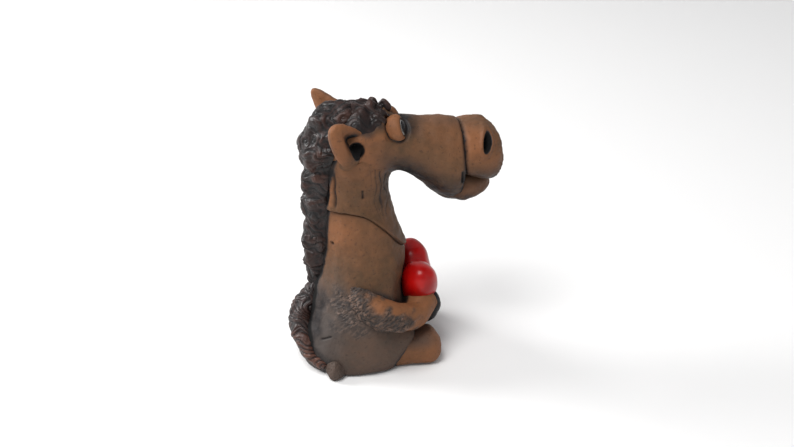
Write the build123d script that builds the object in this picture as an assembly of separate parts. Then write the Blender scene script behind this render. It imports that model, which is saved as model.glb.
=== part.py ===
from build123d import *
import os
from math import cos, radians, sin, sqrt

# A seated clay horse that hugs a red heart, hand-built from separate pieces, luted together and fired.
# Millimetres. +X is the way the horse looks, +Y its left side, +Z up.
# The origin is the middle of the base disc, on the table.

# Torso column at its levels: height above the table, depth along X, width along Y, shift along X.
# The throat is placed below the skull's middle.
seat_depth = 39.0
seat_width = 49.0
belly_height = 8.0
belly_depth = 41.5
belly_width = 52.0
hip_height = 20.0
hip_depth = 41.0
hip_width = 48.6
hip_shift = 1.5
waist_height = 35.0
waist_depth = 38.6
waist_width = 41.0
waist_shift = 5.0
chest_height = 48.0
chest_depth = 34.0
chest_width = 34.6
chest_shift = 4.8
throat_drop = 23.3
throat_depth = 27.4
throat_width = 26.4
throat_shift = 2.1
neck_depth = 24.8
neck_width = 24.2
neck_shift = 1.3

# Hollow inside: the potter's wall, the slab that closes it and the pin hole that lets it breathe.
wall = 5.0
disc_thickness = 5.0
dome_thickness = 7.0
neck_bore = 10.0
vent_bore = 1.2
vent_height = 54.0
vent_angle = -145.0

# Joint between torso and neck, below the skull's middle: level behind, then sloping down in front as a bib.
collar_drop = 25.3
bib_start = 4.3
bib_slope = 50.0
bib_round = 15.0

# Head: skull, bridge of the nose and jaw, each ahead of the skull's middle and below it.
skull_height = 93.3
skull_shift = 3.3
skull_depth = 31.0
skull_tall = 25.6
skull_width = 26.0
bridge_ahead = 19.0
bridge_drop = 3.5
bridge_tall = 23.0
bridge_width = 22.4
jaw_ahead = 35.5
jaw_drop = 11.2
jaw_tall = 33.6
jaw_width = 27.8
mouth_ahead = 41.0
mouth_round = 2.0

# Muzzle with its nostrils, and the lower lip under it.
muzzle_length = 16.6
muzzle_drop = 8.5
muzzle_tall = 25.0
muzzle_width = 27.0
nostril_ahead = 7.9
nostril_angle = 55.0
nostril_wide = 3.0
nostril_tall = 6.0
nostril_deep = 7.0
lip_length = 12.2
lip_drop = 21.8
lip_tall = 13.4
lip_width = 20.4

# Ears: root on the side of the skull, tip behind, outside and above it, and the scoop in the outer face.
ear_root_back = 3.0
ear_root_angle = 88.0
ear_back = 9.8
ear_out = 4.6
ear_rise = 13.8
ear_width = 14.5
ear_thickness = 8.0
scoop_width = 8.5
scoop_depth = 3.6
ear_pit = 4.4

# Eyes: balls sunk in the forehead, a lid behind each, and a flat dark pupil in front.
eye_ahead = 14.2
eye_angle = 38.0
eye_sink = 1.0
eye_ball = 8.6
lid_thickness = 1.1
lid_lean = 14.0
lid_out = 20.0
pupil_bore = 5.4
pupil_thickness = 0.5

# Mane of thick locks from the tail's root up the neck, and forelock from the mane to the eyes.
mane_width = 13.0
mane_thickness = 7.2
mane_overlap = 4.0
lock_count = 8
lock_length = 21.0
mane_end_angle = 82.0
forelock_width = 19.0
forelock_thickness = 2.6
forelock_reach = 13.0

# Arms: shoulder to hand round the torso, given by height, angle from the front and lift off the torso.
shoulder_height = 38.0
shoulder_angle = 124.0
shoulder_lift = -5.0
shoulder_girth = 9.0
elbow_height = 28.0
elbow_angle = 80.0
elbow_lift = 0.8
elbow_girth = 12.6
wrist_height = 22.5
wrist_angle = 37.0
wrist_lift = 5.4
wrist_girth = 11.6
hand_height = 22.3
hand_angle = 15.0
hand_lift = 7.2
hand_girth = 12.0
hoof_length = 3.0
hoof_girth = 14.0

# Legs: hip at the side of the seat, blunt foot in front of it.
hip_angle = 62.0
leg_root_girth = 9.0
leg_root_sink = 7.5
foot_ahead = 34.0
foot_spread = 15.6
foot_girth = 13.4
foot_round = 2.0

# Heart: two leaning lobes joined at the tip.
heart_height = 29.8
heart_gap = 3.2
heart_thickness = 14.0
lobe_length = 25.0
lobe_width = 16.5
lobe_spread = 5.5
lobe_lean = 32.0
heart_roll = 6.0

# Tail: root behind, bulge under it, then round the seat to a loose tip on the table.
tail_root_height = 33.0
tail_root_sink = 4.5
tail_bulge_height = 16.0
tail_girth = 12.0
tail_lift = 0.6
tail_low_height = 9.0
tail_low_angle = 203.0
tail_end_height = 4.6
tail_end_angle = 235.0
tip_girth = 8.4
tip_angle = 240.0

# Working sizes: where the rounded ends take their sections, and a reach past every piece.
dome_shares = (0.07, 0.3, 0.65)
beyond = 200.0


def between(levels, at):
    """The sizes of a stack of levels at one place, in proportion between the two levels around it."""
    for low, high in zip(levels, levels[1:]):
        if at <= high[0] or high is levels[-1]:
            share = (at - low[0]) / (high[0] - low[0])
            return [a + (b - a) * share for a, b in zip(low, high)]


def dome(share):
    """Radius of a round end, as a share of its full radius, at a share of its depth from the pole."""
    return sqrt(1 - (1 - share) ** 2)


def oval(half_x, half_y):
    """An ellipse in four quarters, so that sections always start at the same place."""
    turns = (45, 135, 225, 315)
    return make_face([EllipticalCenterArc((0, 0), half_x, half_y, turn, arc_size=90) for turn in turns])


def flat_section(height, shift, half_depth, half_width):
    """A level ellipse of the torso."""
    return Plane((shift, 0, height), x_dir=(1, 0, 0), z_dir=(0, 0, 1)) * oval(half_depth, half_width)


def upright_section(ahead, height, half_tall, half_width):
    """An ellipse of the head, square to the way the horse looks."""
    return Plane((ahead, 0, height), x_dir=(0, 0, 1), z_dir=(1, 0, 0)) * oval(half_tall, half_width)


def path_section(place, along, across, half_across, half_up):
    """An ellipse of a limb, square to along, with its first half-size towards across."""
    straight = across - along * (across.dot(along) / along.dot(along))
    return Plane(place, x_dir=straight, z_dir=along) * oval(half_across, half_up)


def limb(stations, across):
    """A limb along evenly set stations of place and two half-sizes, with flat ends."""
    last = len(stations) - 1
    sections = []
    for i, (place, half_across, half_up) in enumerate(stations):
        along = (stations[min(i + 1, last)][0] - stations[max(i - 1, 0)][0]).normalized()
        sections.append(path_section(place, along, across, half_across, half_up))
    return loft(sections)


def ellipsoid(depth, width, tall):
    """A ball drawn out along the three axes, about the origin."""
    return scale(Sphere(0.5), by=(depth, width, tall))


def fitted(piece, *neighbours):
    """A piece cut back to the faces of the pieces it is pressed against, and to the table."""
    floor = Pos(0, 0, -beyond / 2) * Box(beyond, beyond, beyond)
    for other in (*neighbours, floor):
        piece = piece - other
    return piece


def other_side(piece):
    """The same piece on the other side of the horse."""
    return mirror(piece, about=Plane.XZ)


throat_height = skull_height - throat_drop
collar_height = skull_height - collar_drop

torso_levels = [
    (0.0, 0.0, seat_depth / 2, seat_width / 2),
    (belly_height, 0.0, belly_depth / 2, belly_width / 2),
    (hip_height, hip_shift, hip_depth / 2, hip_width / 2),
    (waist_height, waist_shift, waist_depth / 2, waist_width / 2),
    (chest_height, chest_shift, chest_depth / 2, chest_width / 2),
    (throat_height, throat_shift, throat_depth / 2, throat_width / 2),
    (skull_height, neck_shift, neck_depth / 2, neck_width / 2),
]
head_levels = [
    (skull_shift, skull_height, skull_tall / 2, skull_width / 2),
    (skull_shift + bridge_ahead, skull_height - bridge_drop, bridge_tall / 2, bridge_width / 2),
    (skull_shift + jaw_ahead, skull_height - jaw_drop, jaw_tall / 2, jaw_width / 2),
]
mouth_x = skull_shift + mouth_ahead
muzzle_z = skull_height - muzzle_drop


def torso_point(height, angle, lift):
    """A point beside the torso: angle from the front towards the left side, lift off the surface."""
    _, shift, half_depth, half_width = between(torso_levels, height)
    turn = radians(angle)
    out = Vector(cos(turn) / half_depth, sin(turn) / half_width, 0).normalized()
    return Vector(shift + half_depth * cos(turn), half_width * sin(turn), height) + out * lift


def head_point(ahead, angle, lift=0.0):
    """A point on the head: its angle is from the top towards the left side, its lift off the surface."""
    _, height, half_tall, half_width = between(head_levels, ahead)
    turn = radians(angle)
    out = Vector(0, sin(turn) / half_width, cos(turn) / half_tall).normalized()
    return Vector(ahead, half_width * sin(turn), height + half_tall * cos(turn)) + out * lift


def make_column():
    """Torso and neck as one tapering column, up to the middle of the skull."""
    return loft([flat_section(*level) for level in torso_levels])


def make_seam_cutter():
    """Everything above the joint between torso and neck."""
    slope = radians(bib_slope)
    far = (bib_start + beyond * cos(slope), collar_height - beyond * sin(slope))
    back = (-beyond, collar_height)
    joint = FilletPolyline(back, (bib_start, collar_height), far, radius=bib_round)
    rest = Polyline(far, (far[0], beyond), (-beyond, beyond), back)
    return extrude(Plane.XZ * make_face([joint, rest]), beyond, both=True)


def make_cavity():
    """The hollow of the torso: the column less its wall, from the base disc to under the collar."""
    inner = []
    for height, shift, half_depth, half_width in torso_levels[1:-2]:
        inner.append((height, shift, half_depth - wall, half_width - wall))
    bottom = (disc_thickness, *between(torso_levels, disc_thickness)[1:])
    inner.insert(0, (bottom[0], bottom[1], bottom[2] - wall, bottom[3] - wall))
    last = inner[-1]
    inner.append((last[0] + dome_thickness, last[1], last[2] - dome_thickness, last[3] - dome_thickness))
    return loft([flat_section(*level) for level in inner])


def make_base_disc():
    """The slab let into the foot of the torso, flush with the table."""
    return extrude(Ellipse(seat_depth / 2 - wall, seat_width / 2 - wall), disc_thickness)


def make_neck_bore():
    """The round hollow from the torso up into the skull."""
    length = skull_height - chest_height
    return Pos(neck_shift, 0, chest_height + length / 2) * Cylinder(neck_bore / 2, length)


def make_vent():
    """The pin hole from the hollow to the outside, square to the wall."""
    outside = torso_point(vent_height, vent_angle, wall)
    inside = torso_point(vent_height, vent_angle, -2 * wall)
    return Plane(inside, z_dir=outside - inside) * extrude(Circle(vent_bore / 2), (outside - inside).length)


def make_head():
    """Skull, bridge and jaw in one, with a flat front that the muzzle and lip are pressed on."""
    half = skull_depth / 2
    back = Vertex(skull_shift - half, 0, skull_height)
    sections = [
        upright_section(
            skull_shift - half * (1 - share),
            skull_height,
            skull_tall / 2 * dome(share),
            skull_width / 2 * dome(share),
        )
        for share in dome_shares
    ]
    sections += [upright_section(*level) for level in head_levels]
    _, height, half_tall, half_width = head_levels[-1]
    sections.append(upright_section(mouth_x, height, half_tall - mouth_round, half_width - mouth_round))
    return loft([back, *sections])


def make_muzzle():
    """The ball of the nose and upper lip, with two nostrils."""
    half_tall = muzzle_tall / 2
    half_width = muzzle_width / 2
    full = muzzle_length * 0.3
    swell = mouth_round / 4
    sections = [
        upright_section(mouth_x, muzzle_z, half_tall - mouth_round, half_width - mouth_round),
        upright_section(mouth_x + mouth_round, muzzle_z, half_tall - swell, half_width - swell),
        upright_section(mouth_x + full, muzzle_z, half_tall, half_width),
    ]
    for share in reversed(dome_shares):
        ahead = mouth_x + muzzle_length - (muzzle_length - full) * share
        sections.append(upright_section(ahead, muzzle_z, half_tall * dome(share), half_width * dome(share)))
    ball = loft([*sections, Vertex(mouth_x + muzzle_length, 0, muzzle_z)])
    for side in (-1, 1):
        ball = ball - make_nostril(side)
    return ball


def make_nostril(side):
    """The pit of one nostril, sunk half its depth into the muzzle's side."""
    share = (muzzle_length - nostril_ahead) / (muzzle_length * 0.7)
    turn = radians(nostril_angle)
    place = Vector(
        mouth_x + nostril_ahead,
        side * muzzle_width / 2 * dome(share) * sin(turn),
        muzzle_z + muzzle_tall / 2 * dome(share) * cos(turn),
    )
    return Pos(*place) * ellipsoid(nostril_wide, nostril_deep, nostril_tall)


def make_lower_lip():
    """The lower lip, under the muzzle and ahead of the jaw."""
    height = skull_height - lip_drop
    sections = [upright_section(mouth_x, height, lip_tall / 2, lip_width / 2)]
    for share in reversed(dome_shares):
        ahead = mouth_x + lip_length * (1 - share)
        size = dome(share) / 2
        sections.append(upright_section(ahead, height, lip_tall * size, lip_width * size))
    return loft([*sections, Vertex(mouth_x + lip_length, 0, height)])


def ear_frame():
    """Root, direction to the tip and facing of the right ear."""
    root = head_point(skull_shift, -ear_root_angle) - Vector(ear_root_back, 0, 0)
    along = Vector(-ear_back, -ear_out, ear_rise)
    facing = Vector(ear_rise, -2 * ear_rise, ear_back / 2)
    facing = (facing - along * (facing.dot(along) / along.dot(along))).normalized()
    return root, along, facing


def make_leaf(root, along, facing, width, thickness):
    """A pointed leaf: widest a third of the way up, with a round tip."""
    across = along.cross(facing)
    shape = ((0.0, 0.9), (0.35, 1.0), (0.65, 0.72), (0.88, 0.38))
    sections = [
        path_section(root + along * share, along, across, width / 2 * size, thickness / 2 * size)
        for share, size in shape
    ]
    return loft([*sections, Vertex(*(root + along))])


def make_ear_pit():
    """The pit at the root of the right ear."""
    root, along, facing = ear_frame()
    place = root + along * 0.15 + facing * ear_thickness / 2
    return Pos(*place) * ellipsoid(ear_pit, 2 * ear_pit, ear_pit)


def make_ear():
    """The right ear: a leaf scooped out on its outer face."""
    root, along, facing = ear_frame()
    leaf = make_leaf(root, along, facing, ear_width, ear_thickness)
    hollow_root = root + along * 0.1 + facing * (ear_thickness / 2)
    hollow = make_leaf(hollow_root, along * 0.75, facing, scoop_width, 2 * scoop_depth)
    return leaf - hollow - make_ear_pit()


def eye_centre():
    """Middle of the right eyeball."""
    return head_point(skull_shift + eye_ahead, -eye_angle, -eye_sink)


def make_eyelid():
    """The right eyelid: the back half of a shell round the eyeball, leaning and turned outwards."""
    shell = Sphere(eye_ball / 2 + lid_thickness)
    behind = Pos(-beyond / 2, 0, 0) * Box(beyond, beyond, beyond)
    return Pos(*eye_centre()) * (shell & Rot(0, lid_lean, lid_out) * behind)


def make_pupil():
    """The right pupil: a thin dark lens on the front of the eyeball."""
    lens = Sphere(eye_ball / 2 + pupil_thickness)
    spot = Pos(eye_ball / 2, 0, 0) * (Rot(0, 90, 0) * Cylinder(pupil_bore / 2, eye_ball))
    return Pos(*eye_centre()) * (lens & spot)


def skull_outline(angle):
    """A point of the skull's middle outline: its angle is from the front, over the top, to the back."""
    turn = radians(angle)
    return Vector(skull_shift + skull_depth / 2 * cos(turn), 0, skull_height + skull_tall / 2 * sin(turn))


def mane_line():
    """The line that the locks lie on: up the back of the torso and neck, and over the skull."""
    foot = tail_root_height - mane_overlap
    rise = skull_height - skull_tall / 2 - foot
    points = [torso_point(foot + rise * share, 180.0, 0.0) for share in (0.0, 0.33, 0.67, 1.0)]
    points += [skull_outline(180.0 - (180.0 - mane_end_angle) * share) for share in (0.0, 0.5, 1.0)]
    return Spline(*points)


def make_mane():
    """The mane: locks along its line, each overlapping the next, thinner at the foot and on the skull."""
    line = mane_line()
    thickness_shares = (0.55, 0.95, 1.0, 1.0, 1.0, 0.9, 0.72, 0.6)
    width_shares = (0.6, 0.95, 1.0, 1.0, 1.0, 1.0, 1.0, 0.95)
    locks = []
    for i in range(lock_count):
        share = i / (lock_count - 1)
        nearest = round(share * (len(thickness_shares) - 1))
        wide = mane_width * width_shares[nearest]
        thick = 2 * mane_thickness * thickness_shares[nearest]
        along = line % share
        place = Plane(line @ share, x_dir=along, z_dir=along.cross(Vector(0, 1, 0)))
        locks.append(place * ellipsoid(lock_length, wide, thick))
    return locks[0].fuse(*locks[1:])


def make_forelock():
    """The forelock: from the end of the mane forward over the forehead, where it dips into the head."""
    shape = ((-0.35, 0.0, 0.9), (0.1, 0.0, 1.0), (0.55, 0.0, 1.0), (1.0, -0.3, 0.75))
    stations = []
    for share, lift, size in shape:
        place = head_point(skull_shift + forelock_reach * share, 0.0, forelock_thickness * lift)
        stations.append((place, forelock_width / 2 * size, forelock_thickness * size))
    return limb(stations, Vector(0, 1, 0))


def arm_stations():
    """Places and half-girths along the right arm, from the shoulder to the hand."""
    shape = (
        (shoulder_height, shoulder_angle, shoulder_lift, shoulder_girth),
        (elbow_height, elbow_angle, elbow_lift, elbow_girth),
        (wrist_height, wrist_angle, wrist_lift, wrist_girth),
        (hand_height, hand_angle, hand_lift, hand_girth),
    )
    return [
        (torso_point(height, -angle, lift), girth / 2, girth / 2) for height, angle, lift, girth in shape
    ]


def arm_end():
    """The face of the right arm that its hoof is pressed on: its middle and the way it looks."""
    before, end = (place for place, _, _ in arm_stations()[-2:])
    return end, (end - before).normalized()


def make_arm():
    """The right arm: it comes out of the torso at the shoulder and ends flat at the hand."""
    return limb(arm_stations(), Vector(0, 0, 1))


def make_front_hoof():
    """The right front hoof: a blunt cap on the end of the arm."""
    place, along = arm_end()
    across = Vector(0, 0, 1)
    sections = [
        path_section(place, along, across, hand_girth / 2, hand_girth / 2),
        path_section(place + along * (hoof_length * 0.6), along, across, hoof_girth / 2, hoof_girth / 2),
        path_section(place + along * hoof_length, along, across, hoof_girth / 2 * 0.8, hoof_girth / 2 * 0.8),
    ]
    return loft(sections)


def leg_line():
    """Hip and foot of the right leg."""
    hip = torso_point(leg_root_girth / 2, -hip_angle, -leg_root_sink)
    return hip, Vector(foot_ahead, -foot_spread, foot_girth / 2)


def make_leg():
    """The right leg: it swells from the hip to a blunt foot."""
    hip, foot = leg_line()
    along = foot - hip
    across = Vector(0, 0, 1)
    full = 1 - foot_round / along.length
    sizes = ((0.0, leg_root_girth), (0.5, (leg_root_girth + foot_girth) / 2), (full, foot_girth))
    sections = [path_section(hip + along * s, along, across, size / 2, size / 2) for s, size in sizes]
    rim = foot_girth / 2 - foot_round
    sections.append(path_section(foot, along, across, rim, rim))
    return loft(sections)


def make_heart():
    """The heart: two lobes that lean apart, pressed against the chest, the left one a little higher."""
    front = torso_point(heart_height, 0.0, heart_gap)
    lobe = ellipsoid(heart_thickness, lobe_width, lobe_length)
    right = Pos(0, -lobe_spread, 0) * (Rot(lobe_lean, 0, 0) * lobe)
    return Pos(*front) * (Rot(heart_roll, 0, 0) * (right + other_side(right)))


def make_tail():
    """The tail: out of the back under the mane, it bulges and sweeps round the seat."""
    half_way = (tail_root_height + tail_bulge_height) / 2
    shape = (
        (tail_root_height, 180.0, -tail_root_sink, 0.6),
        (half_way, 180.0, -tail_lift, 0.85),
        (tail_bulge_height, 183.0, tail_lift, 1.0),
        (tail_low_height, tail_low_angle, tail_lift, 0.9),
        (tail_end_height, tail_end_angle, tail_lift, 0.52),
    )
    stations = []
    for height, angle, lift, size in shape:
        stations.append((torso_point(height, angle, lift), tail_girth / 2 * size, tail_girth / 2 * size))
    return limb(stations, Vector(-1, 0, 0))


def make_tail_tip():
    """The loose lump at the end of the tail, on the table."""
    return Pos(*torso_point(tip_girth * 0.4, tip_angle, tail_lift)) * Sphere(tip_girth / 2)


column = make_column()
above_seam = make_seam_cutter()
hollow = make_cavity() + make_neck_bore()
head_outer = make_head()
muzzle = make_muzzle()
base_disc = make_base_disc()
heart = fitted(make_heart(), column)
leg_right = fitted(make_leg(), column, heart)
arm_right = fitted(make_arm(), column, heart, leg_right)
tail = fitted(make_tail(), column)
mane = fitted(make_mane(), column, head_outer, tail)
eyeball_right = fitted(Pos(*eye_centre()) * Sphere(eye_ball / 2), head_outer)
eyelid_right = fitted(make_eyelid(), eyeball_right, head_outer)
eye_right = Pos(*eye_centre()) * Sphere(eye_ball / 2 + lid_thickness)

pieces = {
    "body_shell": column - above_seam - hollow - base_disc - make_vent(),
    "base_disc": base_disc,
    "neck": (column & above_seam) - head_outer - hollow,
    "head": head_outer - hollow - make_ear_pit() - other_side(make_ear_pit()),
    "muzzle": muzzle,
    "lower_lip": fitted(make_lower_lip(), muzzle, head_outer),
    "heart": heart,
    "mane": mane,
    "forelock": fitted(make_forelock(), head_outer, mane, eye_right, other_side(eye_right)),
    "tail": tail,
    "tail_tip": fitted(make_tail_tip(), column, tail),
}
paired = {
    "leg": leg_right,
    "arm": arm_right,
    "front_hoof": fitted(make_front_hoof(), column, arm_right, heart, leg_right),
    "ear": fitted(make_ear(), head_outer, mane, column),
    "eyeball": eyeball_right,
    "eyelid": eyelid_right,
    "pupil": fitted(make_pupil(), eyeball_right, eyelid_right, head_outer),
}
for name, piece in paired.items():
    pieces[name + "_right"] = piece
    pieces[name + "_left"] = other_side(piece)

os.makedirs("parts", exist_ok=True)
for name, piece in pieces.items():
    export_step(piece, f"parts/{name}.step")
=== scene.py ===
import bpy
import numpy as np
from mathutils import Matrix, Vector


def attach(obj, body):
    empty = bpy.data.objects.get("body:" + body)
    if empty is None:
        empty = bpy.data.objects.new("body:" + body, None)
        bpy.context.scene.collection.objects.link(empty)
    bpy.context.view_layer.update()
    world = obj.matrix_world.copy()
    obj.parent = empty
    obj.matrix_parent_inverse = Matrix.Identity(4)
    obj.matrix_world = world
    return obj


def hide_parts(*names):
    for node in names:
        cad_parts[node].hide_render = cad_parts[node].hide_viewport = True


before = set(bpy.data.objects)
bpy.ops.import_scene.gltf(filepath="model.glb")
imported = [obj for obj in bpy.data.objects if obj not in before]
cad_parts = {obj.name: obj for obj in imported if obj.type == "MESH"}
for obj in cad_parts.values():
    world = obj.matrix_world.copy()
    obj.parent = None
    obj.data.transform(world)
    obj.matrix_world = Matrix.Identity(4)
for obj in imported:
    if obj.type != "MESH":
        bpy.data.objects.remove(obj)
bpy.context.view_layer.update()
mm = 0.001


# shape tools

def smoothCurve(knots, values, at):
    # cubic through the knots; slope at a knot is that of the line between its two neighbours
    knots = np.asarray(knots, float)
    values = np.asarray(values, float)
    slopes = np.gradient(values, knots)
    at = np.clip(at, knots[0], knots[-1])
    k = np.clip(np.searchsorted(knots, at, side="right") - 1, 0, len(knots) - 2)
    step = knots[k + 1] - knots[k]
    t = (at - knots[k]) / step
    a, b = values[k], values[k + 1]
    ma, mb = slopes[k] * step, slopes[k + 1] * step
    return a + ma * t + (3 * (b - a) - 2 * ma - mb) * t**2 + (2 * (a - b) + ma + mb) * t**3


def waves(p, size, seed, count=9):
    # smooth lumps about 1 high: sines along fixed random directions, with wavelengths near size
    rng = np.random.default_rng(seed)
    ways = rng.normal(size=(count, 3))
    ways /= np.linalg.norm(ways, axis=1, keepdims=True)
    rates = 2 * np.pi / (size * rng.uniform(0.7, 1.5, count))
    phases = rng.uniform(0, 2 * np.pi, count)
    return np.sin((p @ ways.T) * rates + phases).sum(-1) / np.sqrt(count / 2)


def strokes(p, along, length, width, seed):
    # short hairs: lumps that are long in one direction and narrow across it, as sharp ridges
    along = np.asarray(along, float) / np.linalg.norm(along)
    run = (p @ along)[..., None] * along
    bent = (p - run) / width + run / length
    return 1 - np.abs(waves(bent, 1.0, seed, 12))


def bump(d, width):
    # 1 at d = 0, falling off as a bell curve
    return np.exp(-((d / width) ** 2))


def rise(x, low, high):
    # 0 below low, 1 above high, smooth between
    t = np.clip((x - low) / (high - low), 0, 1)
    return t * t * (3 - 2 * t)


def normals(points):
    # unit normals of a grid that closes round, from the differences along its two directions
    wrapped = np.concatenate([points[-1:], points, points[:1]])
    n = np.cross(np.gradient(wrapped, axis=0)[1:-1], np.gradient(points, axis=1))
    return n / np.maximum(np.linalg.norm(n, axis=-1, keepdims=True), 1e-9)


def unit(v):
    # v divided by its length
    v = np.asarray(v, float)
    return v / np.linalg.norm(v, axis=-1, keepdims=True)


def away(p, place, stretch=(1, 1, 1)):
    # distance of points from a place, with each axis divided by its stretch
    return np.linalg.norm((p - np.asarray(place, float)) / stretch, axis=-1)


def roundTurn(columns, start=-np.pi):
    # angles once round, from start to its opposite, as a column
    return np.linspace(start, -start, columns, endpoint=False)[:, None]


def sweep(columns, rows, start=np.pi, low=0.0):
    # angles once round as a column, and shares along, from low to 1, as a row
    return roundTurn(columns, start), np.linspace(low, 1, rows)[None, :]


def domed(distance, reach):
    # 0 at an end and 1 from reach on, growing as a quarter circle
    return np.sqrt(np.clip(1 - np.clip(1 - distance / reach, 0, 1) ** 2, 0, 1))


def trimmed(marks, before=0, after=0, top=1.5):
    # marks held between 0 and top, repeated for the rings that close a piece
    grow = ((0, 0), (before, after))
    return {k: np.pad(np.clip(v, 0, top), grow, mode="edge") for k, v in marks.items()}


def makePiece(name, points, material, replaced, body="root", marks=None):
    # points[u, v] in mm: u goes round and closes, v goes along, and both ends close on a point
    nu, nv = points.shape[:2]
    ends = points[:, [0, -1]].mean(0)
    verts = np.concatenate([points.reshape(-1, 3), ends]) * mm
    u, v = np.meshgrid(np.arange(nu), np.arange(nv - 1), indexing="ij")
    nextU = (u + 1) % nu
    quads = np.stack([u * nv + v, nextU * nv + v, nextU * nv + v + 1, u * nv + v + 1], -1).reshape(-1, 4)
    ring = np.arange(nu)
    nextRing = (ring + 1) % nu
    first, last = nu * nv, nu * nv + 1
    capA = np.stack([nextRing * nv, ring * nv, np.full(nu, first)], -1)
    capB = np.stack([ring * nv + nv - 1, nextRing * nv + nv - 1, np.full(nu, last)], -1)
    faces = quads.tolist() + capA.tolist() + capB.tolist()
    mesh = bpy.data.meshes.new(name)
    mesh.from_pydata(verts.tolist(), [], faces)
    for label, values in (marks or {}).items():
        layer = mesh.attributes.new(label, "FLOAT", "POINT")
        flat = np.concatenate([values.reshape(-1), values[:, [0, -1]].mean(0)])
        layer.data.foreach_set("value", flat.astype(np.float32))
    mesh.polygons.foreach_set("use_smooth", np.ones(len(faces), bool))
    mesh.update()
    obj = bpy.data.objects.new(name, mesh)
    bpy.context.scene.collection.objects.link(obj)
    mesh.materials.append(material)
    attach(obj, body)
    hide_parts(*replaced)


def mirrored(points):
    # the same grid on the other side of the horse, with its rounds turned so that faces still point outwards
    return points[::-1] * np.array([1, -1, 1])


def sidedPiece(stem, node, side, points, material, marks=None):
    # a piece shaped for the right side, mirrored for the left
    label = "Right" if side < 0 else "Left"
    if side > 0:
        points = mirrored(points)
        marks = {k: v[::-1] for k, v in (marks or {}).items()}
    makePiece(stem + label, points, material, marks=marks,
              replaced=[f"{node}_{label.lower()}"])


# shader tools

class Sock:
    # one shader socket; arithmetic on it adds Math nodes
    def __init__(self, tree, socket):
        self.tree = tree
        self.socket = socket

    def node(self, kind, settings=None, out=0, **inputs):
        # any node: its settings first, then the values or links of its sockets, by name or number
        made = self.tree.nodes.new(kind)
        for key, value in (settings or {}).items():
            setattr(made, key, value)
        self.fill(made, **inputs)
        return Sock(self.tree, made.outputs[out])

    def fill(self, node, **inputs):
        # another socket is linked, and what is the same all over is set on the node's own socket
        for key, value in inputs.items():
            key = int(key[2:]) if key.startswith("in") and key[2:].isdigit() else key.replace("_", " ")
            if isinstance(value, Sock):
                self.tree.links.new(value.socket, node.inputs[key])
            else:
                node.inputs[key].default_value = value

    def maths(self, operation, a, b=0.0, clamp=False):
        return self.node("ShaderNodeMath", {"operation": operation, "use_clamp": clamp}, in0=a, in1=b)

    def __add__(self, other):
        return self.maths("ADD", self, other)

    def __radd__(self, other):
        return self.maths("ADD", other, self)

    def __sub__(self, other):
        return self.maths("SUBTRACT", self, other)

    def __rsub__(self, other):
        return self.maths("SUBTRACT", other, self)

    def __mul__(self, other):
        return self.maths("MULTIPLY", self, other)

    def __rmul__(self, other):
        return self.maths("MULTIPLY", other, self)

    def clip(self):
        return self.maths("ADD", self, 0.0, True)

    def mix(self, share, colour):
        # this colour towards another one by share
        return self.node("ShaderNodeMix", {"data_type": "RGBA"}, 2, in0=share, in6=self, in7=rgba(*colour))

    def blend(self, low, high):
        # from one colour at 0 to another at 1
        return self.node("ShaderNodeMix", {"data_type": "RGBA"}, 2, in0=self, in6=rgba(*low), in7=rgba(*high))

    def noise(self, size, detail=3.0, rough=0.55):
        # noise about size across, in the units of these coordinates
        return self.node("ShaderNodeTexNoise", Vector=self, Scale=1 / size, Detail=detail, Roughness=rough)

    def between(self, low, high):
        # 0 below low, 1 above high, smooth between
        return self.node("ShaderNodeMapRange", {"interpolation_type": "SMOOTHSTEP"},
                         Value=self, From_Min=low, From_Max=high)

    def mark(self, label):
        # a number kept on the piece's points
        return self.node("ShaderNodeAttribute", {"attribute_name": label}, 2)

    def bumped(self, distance, strength):
        return self.node("ShaderNodeBump", Height=self, Distance=distance, Strength=strength)


def linear(r, g, b):
    # sRGB 0 to 255 into the linear colour that the shader takes
    c = np.array([r, g, b]) / 255
    return tuple(np.where(c <= 0.04045, c / 12.92, ((c + 0.055) / 1.055) ** 2.4).tolist())


def rgba(*colour):
    return (*linear(*colour), 1.0)


def newMaterial(name):
    # a material, its shader and its object coordinates
    material = bpy.data.materials.new(name)
    material.use_nodes = True
    tree = material.node_tree
    shader = tree.nodes["Principled BSDF"]
    place = Sock(tree, tree.nodes.new("ShaderNodeTexCoord").outputs["Object"])
    return material, shader, place


# colours of the clay: the patina colour serves both the clay's real patina and painted shade, and the pit
# colour is the black of painted shade deep in pits and gaps
clayLook = {
    "tan": (97, 67, 43), "olive": (80, 57, 36), "warm": (141, 89, 54), "patinaAndShade": (26, 20, 20),
    "pit": (5, 4, 4), "grey": (70, 62, 58), "speck": (46, 35, 28),
    "patch": 0.011, "grain": 0.0011, "roughness": 0.6, "shine": 0.35, "relief": 0.00022,
    "furDark": (52, 46, 44), "furPale": (128, 106, 94),
    "furAlong": 0.0026, "furAcross": 0.0010, "furTurn": -0.6,
}


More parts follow.
